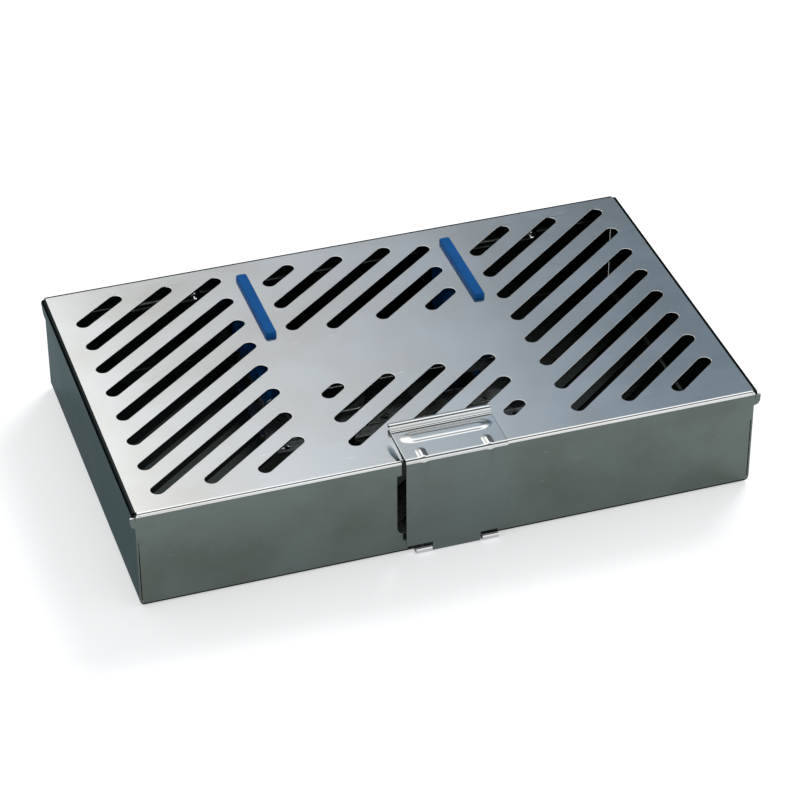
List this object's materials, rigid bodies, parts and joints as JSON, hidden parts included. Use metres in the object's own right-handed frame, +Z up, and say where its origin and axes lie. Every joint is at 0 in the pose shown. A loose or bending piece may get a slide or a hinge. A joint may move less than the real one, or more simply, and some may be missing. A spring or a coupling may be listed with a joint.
{
  "type": "dental instrument cassette",
  "caption": "Flat rectangular stainless steel cassette with slanted wash slots, a rear-hinged lid, a front spring latch, silicone bars, and inner racks, a divider, a tip stand and a parts box.",
  "frame": {"origin": "middle of the tray's flat underside, on the surface that the cassette rests on", "axes": "+X along the long side to the viewer's right, +Y from the latch to the lid's hinges, +Z up"},
  "size_m": [0.272, 0.1704, 0.0512],
  "materials": {
    "brushed_steel": "fine satin stainless sheet",
    "polished_steel": "smooth stainless wire and rivets",
    "spring_steel": "smooth stainless spring sheet",
    "silicone": "matte blue silicone"
  },
  "bodies": {
    "tray": {"tray_shell": "brushed_steel", "hinge_pin_left": "polished_steel", "hinge_pin_right": "polished_steel", "rack_left": "brushed_steel", "rack_right": "brushed_steel", "comb_left": "silicone", "comb_right": "silicone", "rack_rivets": "polished_steel", "divider": "brushed_steel", "divider_rivets": "polished_steel", "spring_clips": "spring_steel", "clip_rivets": "polished_steel", "tip_stand": "brushed_steel", "tip_grommets": "silicone", "stand_rivets": "polished_steel", "parts_box": "brushed_steel", "parts_box_pin": "polished_steel"},
    "lid": {"lid_shell": "brushed_steel", "hold_down_left": "silicone", "hold_down_right": "silicone"},
    "latch": {"latch_clip": "spring_steel"},
    "parts_box_cover": {"parts_box_lid": "brushed_steel"}
  },
  "joints": [
    {"name": "lid_hinge", "type": "hinge", "parent": "tray", "child": "lid", "pos_m": [0, 0.08345, 0.0339], "axis": [-1, 0, 0], "range_deg": [0, 180]},
    {"name": "latch_hinge", "type": "hinge", "parent": "tray", "child": "latch", "pos_m": [0.0011, -0.08354, 0.00169], "axis": [1, 0, 0], "range_deg": [0, 90]},
    {"name": "parts_box_hinge", "type": "hinge", "parent": "tray", "child": "parts_box_cover", "pos_m": [-0.097, -0.0502, 0.01455], "axis": [-1, 0, 0], "range_deg": [0, 100]}
  ]
}
